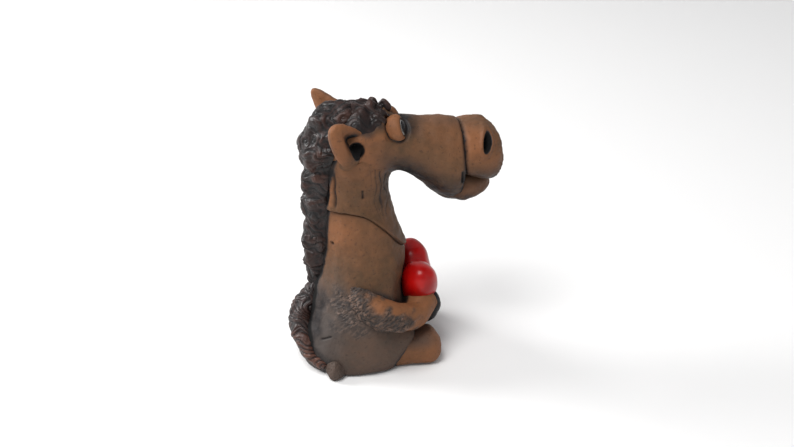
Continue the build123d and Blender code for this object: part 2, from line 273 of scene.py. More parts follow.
def clayMaterial(name, look):
    # fired clay: olive and tan patches, warm places that are partly rubbed clay and partly painted light,
    # dark patina and painted shade where its mark says, and fine grain;
    # the fur mark brings brushed strokes, dark in the grooves and pale on the ridges
    material, shader, place = newMaterial(name)
    patch = place.noise(look["patch"], 4.0, 0.6).between(0.38, 0.62)
    fine = place.noise(look["grain"], 2.0, 0.6)
    specks = place.noise(look["grain"] * 0.9, 0.0).between(0.70, 0.78)
    mottle = place.noise(look["patch"] * 0.32, 3.0, 0.6).between(0.35, 0.7)
    warm = (place.mark("warm") + mottle * 0.2).clip()
    stainAndShade = (place.mark("stainAndShade") * (0.72 + mottle * 0.5)).clip()
    fur = place.mark("fur").clip()
    strokeSize = (look["furAlong"], look["furAcross"], look["furAcross"])
    brushed = place.node("ShaderNodeMapping", {"vector_type": "TEXTURE"}, Vector=place,
                         Rotation=(0.0, look["furTurn"], 0.0), Scale=strokeSize).noise(1.0, 2.0, 0.6)
    tuft = brushed.between(0.40, 0.62)
    tone = patch.blend(look["olive"], look["tan"])
    # a mark above 1 is painted shade deep in pits and gaps: black and dull
    deep = ((place.mark("stainAndShade") - 1.0) * 2.5).clip()
    layers = (
        (warm * 0.8, "warm"), (place.mark("grey").clip(), "grey"), (specks * 0.3, "speck"),
        (fur * (1.0 - tuft) * 0.9, "furDark"), (fur * tuft * (0.1 + mottle * 0.6), "furPale"),
        (fur * (1.0 - mottle) * 0.55, "furDark"), (stainAndShade, "patinaAndShade"), (deep, "pit"),
    )
    for share, colour in layers:
        tone = tone.mix(share, look[colour])
    rough = look["roughness"] + fine * 0.16 - stainAndShade * 0.16 + deep * 0.5
    height = fine * 0.5 + place.noise(look["grain"] * 3.2, 3.0) * 0.9 - specks * 0.4 + fur * brushed * 3.2
    place.fill(shader, Base_Color=tone, Roughness=rough, Normal=height.bumped(look["relief"], 0.8),
               Specular_IOR_Level=look["shine"])
    return material


hairLook = {
    "deep": (13, 8, 8), "brown": (54, 31, 26), "worn": (96, 60, 46), "roughness": 0.42, "strand": 0.0009,
    "cloud": 0.006, "lump": 0.0022, "relief": 0.0003, "shine": 0.3, "coat": 0.12, "coatRough": 0.16,
}


def hairMaterial(name, look):
    # dark glaze over hair: brown where it runs thin on the ridges, near black in the grooves, glossy
    material, shader, place = newMaterial(name)
    ridge = place.mark("ridge").clip()
    cloud = place.noise(look["cloud"], 4.0, 0.6).between(0.35, 0.7)
    fine = place.noise(look["strand"], 2.0)
    tone = (ridge * (0.35 + cloud * 0.8)).clip().blend(look["deep"], look["brown"])
    tone = tone.mix((place.mark("warm") * (0.3 + cloud * 0.7)).clip(), look["worn"])
    height = fine * 0.6 + place.noise(look["lump"], 3.0)
    place.fill(shader, Base_Color=tone, Roughness=look["roughness"] + cloud * 0.16,
               Normal=height.bumped(look["relief"], 0.8), Specular_IOR_Level=look["shine"],
               Coat_Weight=look["coat"], Coat_Roughness=look["coatRough"])
    return material


glazeLook = {"shine": 0.3, "coatRough": 0.08, "smear": 0.003, "dimple": 0.0045, "relief": 0.00025}


def glazeMaterial(name, deep, bright, roughness, coat, mottled=0.006):
    # an even glossy glaze: two close tones in soft clouds, with slight dimples
    look = glazeLook
    material, shader, place = newMaterial(name)
    cloud = place.noise(mottled, 3.0, 0.5).between(0.3, 0.7)
    rough = roughness + place.noise(look["smear"], 2.0) * 0.08
    height = place.noise(look["dimple"], 2.0)
    place.fill(shader, Base_Color=cloud.blend(deep, bright), Roughness=rough,
               Normal=height.bumped(look["relief"], 0.35), Specular_IOR_Level=look["shine"],
               Coat_Weight=coat, Coat_Roughness=look["coatRough"])
    return material


clay = clayMaterial("firedClay", clayLook)
hair = hairMaterial("darkHairGlaze", hairLook)
redGlaze = glazeMaterial("redGlaze", (152, 4, 4), (180, 10, 7), 0.28, 0.06)
blackGlaze = glazeMaterial("blackGlaze", (9, 8, 9), (22, 19, 22), 0.22, 0.3)
hoofGlaze = glazeMaterial("hoofGlaze", (11, 10, 11), (27, 23, 25), 0.45, 0.04)
whiteGlaze = glazeMaterial("whiteGlaze", (186, 178, 170), (226, 222, 216), 0.2, 0.5, 0.002)
print("materials ready")


# torso and neck

torsoSizes = {
    "height": (0.0, 8.0, 20.0, 35.0, 48.0, 70.0, 93.3),
    "shift": (0.0, 0.0, 1.5, 5.0, 4.8, 2.1, 1.3),
    "halfDepth": (19.5, 20.75, 20.5, 19.3, 17.0, 13.7, 12.4),
    "halfWidth": (24.5, 26.0, 24.3, 20.5, 17.3, 13.2, 12.1),
    "collar": 68.0, "bibStart": 4.3, "bibSlope": 1.19, "bibRound": 2.6,
    "vent": (54.0, -143.0, 0.0), "gash": (16.5, -131.5, 0.0), "disc": (14.5, 19.5, 5.0),
    "haunches": (((14.0, -17.5, 10.5), 2.4, 7.5), ((18.5, -15.5, 13.5), 3.8, 6.5)),
    "corner": 1.9, "rump": 2.6, "chestIn": 3.0, "furAt": (-0.5, 20.0, 29.0), "furHalf": (15.0, 12.0, 11.0),
}


def torsoPoint(angle, z, lift=0.0):
    # ellipse at height z: middle and half-sizes follow smooth curves through the levels; lift is square to it
    s = torsoSizes
    shift, a, b = (smoothCurve(s["height"], s[k], z) for k in ("shift", "halfDepth", "halfWidth"))
    out = unit(np.stack([np.cos(angle) / a, np.sin(angle) / b], -1))
    x = shift + a * np.cos(angle) + out[..., 0] * lift
    y = b * np.sin(angle) + out[..., 1] * lift
    return np.stack([x, y, z + np.zeros_like(x)], -1)


def offTorso(p):
    # about how far a point lies outside the torso, from the size of the ellipse through it at its height
    s = torsoSizes
    shift, a, b = (smoothCurve(s["height"], s[k], p[..., 2]) for k in ("shift", "halfDepth", "halfWidth"))
    return (np.hypot((p[..., 0] - shift) / a, p[..., 1] / b) - 1) * np.sqrt(a * b)


def onRight(p):
    # points of the left side mirrored to the right
    return p * np.where(p[..., 1:2] > 0, np.array([1, -1, 1]), np.array([1, 1, 1]))


def seatSwell(p):
    # how far the seat stands out from its ellipse: haunches over the legs, full front corners and a full rump
    s = torsoSizes
    d = sum(size * bump(away(onRight(p), place), width) for place, size, width in s["haunches"])
    x, y = p[..., 0] / s["halfDepth"][1], p[..., 1] / s["halfWidth"][1]
    corner = s["corner"] * (2 * x * y / np.maximum(x * x + y * y, 0.01)) ** 2 * rise(p[..., 0], -20.0, 12.0)
    rump = s["rump"] * rise(p[..., 0], -8.0, -19.0)
    return d + rise(p[..., 2], 24.0, 7.0) * (corner + rump)


def swell(p, n, off, reach):
    # a skin that another one crosses grows towards it, most where they meet steeply, so the corner is round
    gap = off(p)
    slope = np.stack([off(p + 0.05 * step) - off(p - 0.05 * step) for step in np.eye(3)], -1)
    flat = (n * unit(slope + 1e-9)).sum(-1)
    lean = np.sqrt(np.clip((1 - flat) / (1.02 + flat), 0, 1.4))
    return 0.5 * reach * lean * np.clip(1 - np.abs(gap) / reach, 0, 1) ** 2


def nearPath(p, path, girth):
    # distance of points from the skin of a limb: the least distance to its path, less its half-girth there
    places, _, at, knots = pathFrame(path, 60)
    best = np.inf
    for place, half in zip(places, smoothCurve(knots, girth, at)):
        best = np.minimum(best, away(p, place) - half)
    return best


def pathFrame(points, count):
    # smooth path through points at even lengths: places and directions
    points = np.asarray(points, float)
    knots = np.concatenate([[0], np.cumsum(np.linalg.norm(np.diff(points, axis=0), axis=1))])
    at = np.linspace(0, knots[-1], count)
    place = np.stack([smoothCurve(knots, points[:, k], at) for k in range(3)], -1)
    return place, unit(np.gradient(place, at, axis=0)), at, knots


def onTorso(*stations):
    # path of points given by height, angle in degrees from the front and lift off the torso
    return [torsoPoint(np.radians(angle), np.array(float(z)), lift) for z, angle, lift in stations]


# what is pressed onto the torso comes before it, because the torso's patina and painted shade follow these
# sizes

armSizes = {
    "path": onTorso((38.5, -128, -7.2), (32.8, -104, -2.8), (28, -80, 0.6), (24.4, -57, 3.2),
                    (21.8, -37, 5.2), (23.8, -15, 6.2)),
    "half": (3.0, 5.0, 6.2, 5.8, 5.6, 7.4), "furEnd": 0.66,
    "dots": ((19.6, -24.2, 24.2), (20.6, -23.8, 22.4)),
}
legSizes = {
    "path": ((5.3, -16.1, 4.3), (14.9, -16.2, 5.3), (24.5, -16.0, 6.8), (34.0, -15.8, 7.2)),
    "half": (4.2, 5.5, 6.8, 7.1), "square": 1.1,
}
tailSizes = {
    "path": onTorso((34, 180, -4.5), (25, 181, -1.4), (17, 186, 0.6), (9.5, 208, 2.2), (4.2, 234, 1.4)),
    "half": (3.4, 5.2, 5.7, 3.2, 1.9),
}
maneSizes = {
    "path": [*onTorso((30, 180, -2.0), (38, 180, -0.6), (46, 180, 0), (63, 180, 0), (80.5, 180, 0)),
             (-12.0, 0, 93.3), (-6.6, 0, 102.6), (2.4, 0, 105.7)],
    "halfWidth": (2.6, 4.6, 5.8, 6.5, 7.8, 11.2, 9.8, 7.6), "proud": (2.6, 4.6, 6.6, 6.9, 7.1, 6.8, 5.8, 4.2),
    "locks": 8, "lockHalf": 10.5, "ridge": 0.6, "pitch": 4.4, "wrap": 12.5,
}
heartSizes = {
    "centre": (26.8, 0.0, 29.8), "half": (7.7, 8.4, 12.5), "spread": 5.5,
    "lean": 32.0, "roll": 6.0, "soft": 2.6,
}


headSizes = {
    "x": (3.3, 22.3, 38.8, 43.6), "z": (93.3, 89.8, 82.1, 81.2),
    "halfTall": (12.8, 11.5, 16.8, 16.6), "halfWidth": (13.0, 11.2, 13.9, 13.6),
    "back": 15.5, "edge": 1.4,
    "eye": (17.5, 6.5, 99.3), "eyeOut": (0.0, 0.62, 0.78), "eyeBall": 4.3, "eyeFlat": 0.8, "eyeSlim": 0.82,
    "eyeLean": 16.0, "eyeDrop": 0.7, "lid": 1.1, "window": 2.34, "mouthCorner": (42.2, 79.2),
    "earPit": (0.9, 13.2, 94.0), "earRidge": ((-1.0, 13.4, 99.4), (4.5, 12.6, 98.0), (11.0, 10.8, 97.2)),
}


def headShape(x):
    # middle, half-height and half-width at x: smooth curves, with a round back and a rolled front edge
    s = headSizes
    z, tall, wide = (smoothCurve(s["x"], s[k], x) for k in ("z", "halfTall", "halfWidth"))
    behind = np.clip((s["x"][0] - x) / s["back"], 0, 1)
    dome = np.sqrt(1 - behind**2)
    front = np.clip((x - (s["x"][-1] - s["edge"])) / s["edge"], 0, 1)
    roll = s["edge"] * (1 - np.sqrt(1 - front**2))
    return z, tall * dome - roll, wide * dome - roll


def offHead(p):
    # about how far a point lies outside the head
    z, tall, wide = headShape(p[..., 0])
    tall, wide = np.maximum(tall, 0.5), np.maximum(wide, 0.5)
    return (np.hypot(p[..., 1] / wide, (p[..., 2] - z) / tall) - 1) * np.sqrt(tall * wide)


def seamHeight(x):
    # level behind, then down in front at the bib's slope, with a soft corner
    s = torsoSizes
    return s["collar"] - s["bibSlope"] * s["bibRound"] * np.logaddexp(0, (x - s["bibStart"]) / s["bibRound"])


def seamAt(angle):
    # height where the torso at this angle meets the seam, by halving an interval
    low, high = np.full_like(angle, 20.0), np.full_like(angle, 90.0)
    for _ in range(40):
        middle = (low + high) / 2
        under = middle < seamHeight(torsoPoint(angle, middle)[..., 0])
        low, high = np.where(under, middle, low), np.where(under, high, middle)
    return low


def furField(p, side):
    # the brushed patch over the shoulder and haunch: 1 inside it, fading at its edge
    far = away(p, np.array(torsoSizes["furAt"]) * (1, side, 1), torsoSizes["furHalf"])
    patch = 1 - rise(far + 0.12 * waves(p, 7.0, 19), 0.45, 1.15)
    # bare clay above the upper arm
    above = rise(p[..., 2] + 0.7 * p[..., 0] - 36.5, -2.0, 1.0) * rise(p[..., 0], -6.0, -1.0)
    return patch * (1 - above)


def claySurface(p, amount=1.0, seed=3):
    # hand-modelled unevenness: broad lumps, finger dabs and fine dents
    lumps, dabs, dents = (waves(p, size, seed + k) for k, size in enumerate((15.0, 5.5, 2.2)))
    return amount * (0.22 * lumps + 0.10 * dabs + 0.035 * dents)


def makeTorso():
    # ellipses stacked from the table to the collar's seam, pushed in and out along their normals
    s = torsoSizes
    angle, share = sweep(330, 250, -np.pi)
    top = seamAt(angle)
    z = top * share
    p = torsoPoint(angle, z)
    n = normals(p)
    d = claySurface(p)
    seat = seatSwell(p)
    fur = np.maximum(furField(p, -1), furField(p, 1))
    brushed = strokes(p, (0.8, 0.0, 0.55), 3.2, 1.0, 21)
    d += fur * 0.22 * brushed
    # the chest draws in behind the heart
    d += seat - s["chestIn"] * rise(p[..., 0], 13.0, 20.0) * bump(z - 33.0, 9.5)
    # pin hole
    hole = away(p, *onTorso(s["vent"]))
    d += -1.6 * bump(hole, 0.62) + 0.16 * bump(hole - 1.15, 0.4)
    stainAndShade = bump(hole, 0.75)
    # gash near the tail
    gash = p - onTorso(s["gash"])[0]
    slit = np.hypot(gash[..., 2] - 0.7 * gash[..., 0], np.maximum(np.abs(gash[..., 0]) - 1.4, 0) * 1.5)
    d += -0.8 * bump(slit, 0.35) * (p[..., 1] < 0)
    stainAndShade += 0.9 * bump(slit, 0.4) * (p[..., 1] < 0)
    # patina and painted shade gather along every piece that is pressed on: arms, legs, mane, tail and heart
    seated = p + n * seat[..., None]
    arm = nearPath(onRight(p), armSizes["path"], armSizes["half"])
    leg = nearPath(onRight(seated), legSizes["path"], legSizes["half"])
    mane = nearPath(p, maneSizes["path"], maneSizes["halfWidth"])
    tail = nearPath(seated, tailSizes["path"], tailSizes["half"])
    heart = away(p, heartSizes["centre"], (9.0, 15.0, 13.5))
    stainAndShade += 0.85 * rise(arm, 2.6, 0.2) * rise(p[..., 0], 0.0, 9.0) + rise(leg, 1.7, 0.9)
    stainAndShade += 1.2 * rise(mane, 2.3, 0.9) + 0.95 * rise(tail, 3.6, 0.3) + 0.9 * rise(heart, 1.16, 0.92)
    # a dull black wash beside the tail
    behind = np.abs(np.degrees(angle)) + 2.0 * waves(p, 8.0, 22)
    wash = rise(behind, 138.0, 148.0) * rise(z, 6.0, 12.0) * rise(z, 38.0, 29.0) * rise(p[..., 1], 5.0, -5.0)
    stainAndShade += 0.95 * wash
    # the top edge rolls in to a groove under the collar
    under = top - z
    d += -1.1 * np.clip(1 - under / 1.3, 0, 1) ** 2
    stainAndShade += 0.95 * bump(under, 0.6) + 0.2 * bump(under, 2.2)
    # foot of the seat rounds in, with painted shade where it meets the table
    d += -1.2 * np.clip(1 - z / 2.0, 0, 1) ** 2
    stainAndShade += 0.45 * bump(z, 2.2)
    # greyer lower down as painted shade, greyer in the brushed fur, and greyer low at the back
    grey = 0.6 * rise(z, 42.0, 20.0) + 0.25 * fur + 0.4 * rise(behind, 100.0, 135.0) * rise(z, 54.0, 34.0)
    warm = 0.6 * bump(away(p, (-7.0, -12.0, 60.0)), 9.0) + 0.12 * rise(z, 38, 60)
    p = p + n * d[..., None]
    p[..., 2] = np.maximum(p[..., 2], 0.0)
    # closed below: in under the rim to the disc, up round it and over to the middle
    discX, discY, discZ = s["disc"]
    edge = np.concatenate([discX * np.cos(angle), discY * np.sin(angle), 0 * angle], -1)[:, None]
    up = (0, 0, discZ)
    inside = [edge * 0.4 + up, edge + up, edge, p[:, :1] * (0.98, 0.98, 0)]
    neckIn = p[:, -1:] * (0.9, 0.9, 1.0) + (0.2, 0, 0.4)
    deep = neckIn * (0.5, 0.5, 1.0) + (0.7, 0, 0.5)
    grid = np.concatenate([*inside, p, neckIn, deep], 1)
    marks = trimmed({"stainAndShade": stainAndShade, "warm": warm, "grey": grey, "fur": fur}, len(inside), 2)
    makePiece("bodyShell", grid, clay, marks=marks, replaced=["body_shell"])


def throatMarks(p):
    # head and neck share these where they meet: painted shade under the jaw, warmth higher up, some grey at
    # the sides
    shift = smoothCurve(torsoSizes["height"], torsoSizes["shift"], p[..., 2])
    turn = np.abs(np.degrees(np.arctan2(p[..., 1], p[..., 0] - shift)))
    stainAndShade = 0.75 * rise(turn, 62.0, 18.0) * rise(p[..., 2], 60.0, 84.0)
    return stainAndShade, 0.35 * rise(p[..., 2], 72.0, 88.0), 0.25 * bump(turn - 30.0, 25.0)


def fromPit(p, side):
    # distance from the middle of the ear's pit, which is a little taller than wide
    return away(p, np.array(headSizes["earPit"]) * (1, side, 1), (1, 1, 1.1))


neckSizes = {
    "top": 92.0, "proud": 0.25, "crack": (-84.0, 75.5), "lines": ((-131.0, 0.45), (-147.0, 0.7)),
    "strip": -139.0, "flap": (69.0, -141.0, 0.0),
}


def makeNeck():
    # the torso's ellipses carried on from the seam into the head
    s = neckSizes
    angle, share = sweep(300, 200, -np.pi)
    low = seamAt(angle) - 0.5
    z = low + (s["top"] - low) * share
    p = torsoPoint(angle, z, s["proud"])
    n = normals(p)
    above = z - low
    degrees = np.degrees(angle)
    d = claySurface(p, 0.9, 31) + swell(p, n, offHead, 6.0)
    stainAndShade = np.zeros(z.shape)
    # the collar's edge stands proud and rounds under
    d += 0.45 * bump(above - 1.2, 1.8) - 1.2 * np.clip(1 - above / 0.9, 0, 1) ** 2
    stainAndShade += 0.8 * bump(above, 0.35)
    # upright scratches on the front half
    scratch = rise(np.sin(degrees * 0.62 + 1.5 * waves(p, 9.0, 5)), 0.55, 0.95)
    scratchy = bump(degrees + 42.0, 20.0) * rise(z, 60, 72)
    d += -0.45 * scratch * scratchy
    stainAndShade += 0.85 * scratch * scratchy
    # crack, and the rolled strip of clay beside the mane with its two dark lines
    crackTurn, crackHeight = s["crack"]
    crack = np.hypot((degrees - crackTurn) * 0.22, np.maximum(np.abs(z - crackHeight) - 1.4, 0))
    d += -0.9 * bump(crack, 0.4)
    stainAndShade += 0.95 * bump(crack, 0.45)
    tall = rise(z, 69.0, 71.0) * rise(z, 86.0, 82.0)
    for line, width in s["lines"]:
        groove = bump((degrees - line - 1.5 * waves(p, 7.0, 8)) * 0.23, width) * tall
        d += -0.8 * groove
        stainAndShade += 0.95 * groove
    strip = bump((degrees - s["strip"]) * 0.23, 1.3) * tall
    d += 0.35 * strip + 0.7 * bump(away(p, *onTorso(s["flap"])), 1.9)
    # patina and painted shade along the mane's edge
    mane = nearPath(p, maneSizes["path"], maneSizes["halfWidth"])
    stainAndShade += 1.2 * rise(mane, 2.0, 0.7)
    # the ears' pits reach in as far as the neck, painted dark inside as shade
    for side in (-1, 1):
        pit = fromPit(p, side)
        d += -5.0 * rise(pit, 5.0, 3.4)
        stainAndShade += 1.5 * rise(pit, 4.6, 3.8)
    throat, warm, grey = throatMarks(p)
    marks = trimmed({"stainAndShade": stainAndShade + throat, "warm": warm + 0.5 * strip, "grey": grey}, before=2)
    p = p + n * d[..., None]
    # closed below, inside the torso
    rim = p[:, :1] * (0.88, 0.88, 1) + (0.2, 0, 0.6)
    deep = rim * (0.5, 0.5, 1.0) + (0.6, 0, 0)
    grid = np.concatenate([deep, rim, p], 1)
    makePiece("neckColumn", grid, clay, marks=marks, replaced=["neck"])


makeTorso()
makeNeck()
print("torso and neck ready")


# head

def headPoint(x, angle):
    # ellipse square to the nose, angle from the top towards the left
    z, tall, wide = headShape(x)
    return np.stack([x + 0 * angle, wide * np.sin(angle), z + tall * np.cos(angle)], -1)


def eyeCentre(side):
    # the left eye sits a little lower
    x, y, z = headSizes["eye"]
    return np.array([x, side * y, z - (headSizes["eyeDrop"] if side > 0 else 0.0)])


def makeHead():
    # ellipses square to the nose, from the round back to the muzzle's seam
    s = headSizes
    angle, t = sweep(280, 250)
    # more rows at the round back and at the front edge
    t = t - 0.09 * np.sin(2 * np.pi * t) / np.pi
    x = s["x"][0] - s["back"] + (s["x"][-1] - s["x"][0] + s["back"]) * t
    x[0, 0] += 0.02
    p = headPoint(x, angle)
    n = normals(p)
    d = claySurface(p, 0.8, 51) + swell(p, n, offTorso, 6.0)
    stainAndShade, warm = np.zeros((2, *d.shape))
    for side in (-1, 1):
        eye = p - eyeCentre(side)
        far = away(p, eyeCentre(side), (s["eyeSlim"], 1, 1))
        d += -0.75 * bump(far - 5.7, 0.75)
        stainAndShade += 0.95 * bump(far - 5.6, 0.75) * rise(eye[..., 0], 5.0, 2.0)
        # dark wash in front of the eye, fading along the nose
        ahead = rise(eye[..., 0], -1.0, 3.0) * rise(eye[..., 0], 13.0, 3.0)
        stainAndShade += 0.55 * ahead * rise(eye[..., 2], -4.5, 0.5)
        warm += 0.35 * bump(away(p, (2.0, side * 14.0, 92.0)), 9.0)
        # pit of the ear, painted dark inside as shade, and the ridge that carries the ear's front edge on
        # along the head
        pit = fromPit(p, side)
        d += -5.0 * rise(pit, 3.5, 1.4)
        stainAndShade += 1.5 * rise(pit, 3.5, 2.8)
        ridge = nearPath(p, np.array(s["earRidge"]) * (1, side, 1), (0, 0, 0))
        d += 1.1 * bump(ridge, 1.9)
        warm += 0.5 * bump(ridge, 2.2)
    # dark wash below the forelock, with an uneven soft edge that ends before the eyes
    level = 99.4 + 0.8 * waves(p, 7.0, 61)
    reach = 10.6 + 0.35 * (p[..., 2] - 99.0) + 0.8 * waves(p, 5.0, 62)
    stainAndShade += 0.92 * rise(p[..., 2] - level, -1.4, 2.0) * rise(p[..., 0] - reach, 1.6, -1.2)
    # painted shade on the underside and jaw, and in the cheek hollow behind the jaw
    middle, tall, _ = headShape(x)
    under = (p[..., 2] - middle) / tall
    throat, throatWarm, throatGrey = throatMarks(p)
    join = rise(offTorso(p), 8.0, 0.5) * rise(under, 0.35, -0.1)
    hollow = away(p, (18.0, 0, 81.0), (1, 2, 0.9))
    stainAndShade += join * throat + (1 - join) * (rise(under, 0.12, -0.8) + 0.5 * bump(hollow, 7.0))
    warm += join * throatWarm
    stainAndShade += 1.2 * bump(s["x"][-1] - x, 1.0) * rise(under, 1.0, 0.5)
    # mouth corner crack
    cornerX, cornerZ = s["mouthCorner"]
    crack = np.hypot(p[..., 0] - cornerX, np.maximum(np.abs(p[..., 2] - cornerZ) - 2.2, 0))
    d += -0.8 * bump(crack, 0.5)
    stainAndShade += 0.9 * bump(crack, 0.55)
    # painted light from above: the top of the snout is warmer, with a grey painted highlight along its top
    # edge
    warm += 0.35 * rise(under, 0.1, 0.7) * rise(p[..., 0], 22.0, 32.0)
    grey = 0.3 * rise(under, 0.85, 1.0) * rise(p[..., 0], 20.0, 30.0) + join * throatGrey
    p = p + n * d[..., None]
    lid = p[:, -1:] * (1, 0.5, 0.5) + (0.2, 0, 0.5 * s["z"][-1])
    grid = np.concatenate([p, lid], 1)
    marks = trimmed({"stainAndShade": stainAndShade, "warm": warm, "grey": grey}, after=1)
    makePiece("headClay", grid, clay, marks=marks, replaced=["head"])


muzzleSizes = {
    "rear": 43.3, "length": 17.7, "z": 84.8, "halfTall": 12.6, "halfWidth": 13.4,
    "swell": 0.3, "droop": 0.08, "mouthLift": 4.2,
    "nostril": (52.2, 11.3, 91.6), "nostrilHalf": (1.5, 3.1), "nostrilLean": -0.2,
}


def makeMuzzle():
    s = muzzleSizes
    angle, t = sweep(300, 200)
    # a blunt ball: rolled rear edge, swelling to full size, then a rounded front
    ahead = s["length"] * np.sin(t * np.pi / 2) ** 0.9
    ahead[0, -1] = s["length"]
    rear = np.clip(1 - ahead / 2.6, 0, 1)
    front = np.clip((ahead / s["length"] - s["swell"]) / (1 - s["swell"]), 0, 1)
    size = (1 - front**2.8) ** (1 / 2.5) - (0.13 + 0.12 * rise(np.cos(angle), -0.3, -0.9)) * rear**2.0
    flat = 1 + 0.05 * np.sin(angle * 2) ** 2
    y = s["halfWidth"] * size * np.sin(angle) * flat
    z = s["z"] + s["halfTall"] * size * np.cos(angle) * flat
    # the mouth line climbs towards its corner
    z = z + s["mouthLift"] * rise(s["z"] - z, 3.0, 12.6) * rise(ahead, 12.0, 0.0)
    # the chin of the ball stands further out than its top
    droop = s["droop"] * (s["z"] - z) * rise(ahead, 2.0, s["length"] * 0.8)
    p = np.stack([s["rear"] + ahead + droop, y, z], -1)
    n = normals(p)
    n[:, -1] = (1, 0, 0)
    d = claySurface(p, 0.8, 71)
    stainAndShade, warm = np.zeros((2, *d.shape))
    for side in (-1, 1):
        q = p - np.array(s["nostril"]) * (1, side, 1)
        across = q[..., 0] + s["nostrilLean"] * q[..., 2]
        wide, tall = s["nostrilHalf"]
        far = np.hypot(across / wide, q[..., 2] / tall) + 2.0 * (p[..., 1] * side < 2.0)
        # each nostril is a pit, painted dark inside as shade and black where it is deepest
        d += -3.4 * rise(far, 1.15, 0.5) + 0.5 * bump(far - 1.5, 0.45)
        stainAndShade += 1.5 * rise(far, 1.3, 1.0) + 0.2 * bump(far - 1.6, 0.5)
        # warm clay round the nostril, lighter on the upper rear as painted light from above
        warm += bump(away(q, (-4.5, 0, 1.0)), 8.5) + 0.5 * bump(away(q, (3.0, 0, -8.0)), 4.0)
    # painted shade on the lower half, and a dark seam at the back
    low = (z - s["z"]) / s["halfTall"]
    stainAndShade += 0.8 * rise(low, 0.1, -0.85) + 1.2 * bump(ahead, 1.1)
    d += 0.18 * rise(waves(p, 1.6, 77), 0.6, 1.6) * rise(p[..., 0], 54.0, 60.0)
    # a grey painted highlight along the top
    grey = 0.15 * rise(low, 0.8, 1.0)
    p = p + n * d[..., None]
    back = p[:, :1] * (1, 0.6, 0.6) + (-0.6, 0, 0.4 * s["z"])
    grid = np.concatenate([back, p], 1)
    marks = trimmed({"stainAndShade": stainAndShade, "warm": warm, "grey": grey}, before=1)
    makePiece("muzzleBall", grid, clay, marks=marks, replaced=["muzzle"])


lipSizes = {"rear": 38.5, "length": 18.0, "z": 71.6, "halfTall": 7.0, "halfWidth": 11.2, "square": 0.8}


def makeLip():
    s = lipSizes
    angle, t = sweep(200, 110)
    # half a flattened egg, a little square across: full at the jaw, rounding off forwards
    ahead = s["length"] * np.sin(t * np.pi / 2)
    size = np.sqrt(np.clip(1 - (ahead / s["length"]) ** 2.4, 0, 1)) * (0.8 + 0.2 * rise(ahead, 0.0, 6.5))
    y = s["halfWidth"] * size * np.sign(np.sin(angle)) * np.abs(np.sin(angle)) ** s["square"]
    z = s["z"] + s["halfTall"] * size * np.sign(np.cos(angle)) * np.abs(np.cos(angle)) ** s["square"]
    p = np.stack([s["rear"] + ahead + 0 * y, y, z], -1)
    n = normals(p)
    n[:, -1] = (1, 0, 0)
    d = claySurface(p, 0.7, 91)
    upper = (z - s["z"]) / s["halfTall"]
    # painted shade all over the lip, which sits under the muzzle: most on its lower side and just under the
    # muzzle's edge
    stainAndShade = 0.25 * rise(upper, 0.5, 0.9) + 0.7 * rise(upper, 0.2, -0.9) + 0.36
    warm = 0.5 * bump(upper, 0.5)
    marks = trimmed({"stainAndShade": stainAndShade, "warm": warm}, top=1)
    makePiece("lowerLip", p + n * d[..., None], clay, marks=marks, replaced=["lower_lip"])


earSizes = {
    "root": (0.3, -13.0, 93.6), "alongRight": (-9.4, -4.5, 12.6), "alongLeft": (-11.0, -4.7, 14.4),
    "facing": (15.5, -31.0, 5.5), "halfWidth": 6.9, "halfThick": 3.4, "scoop": 5.2, "pit": 0.06,
    "leafAt": (-0.42, 0.0, 0.3, 0.6, 0.8, 0.92, 0.98, 1.0),
    "leafSize": (0.7, 0.98, 1.0, 0.82, 0.6, 0.38, 0.17, 0.0),
}


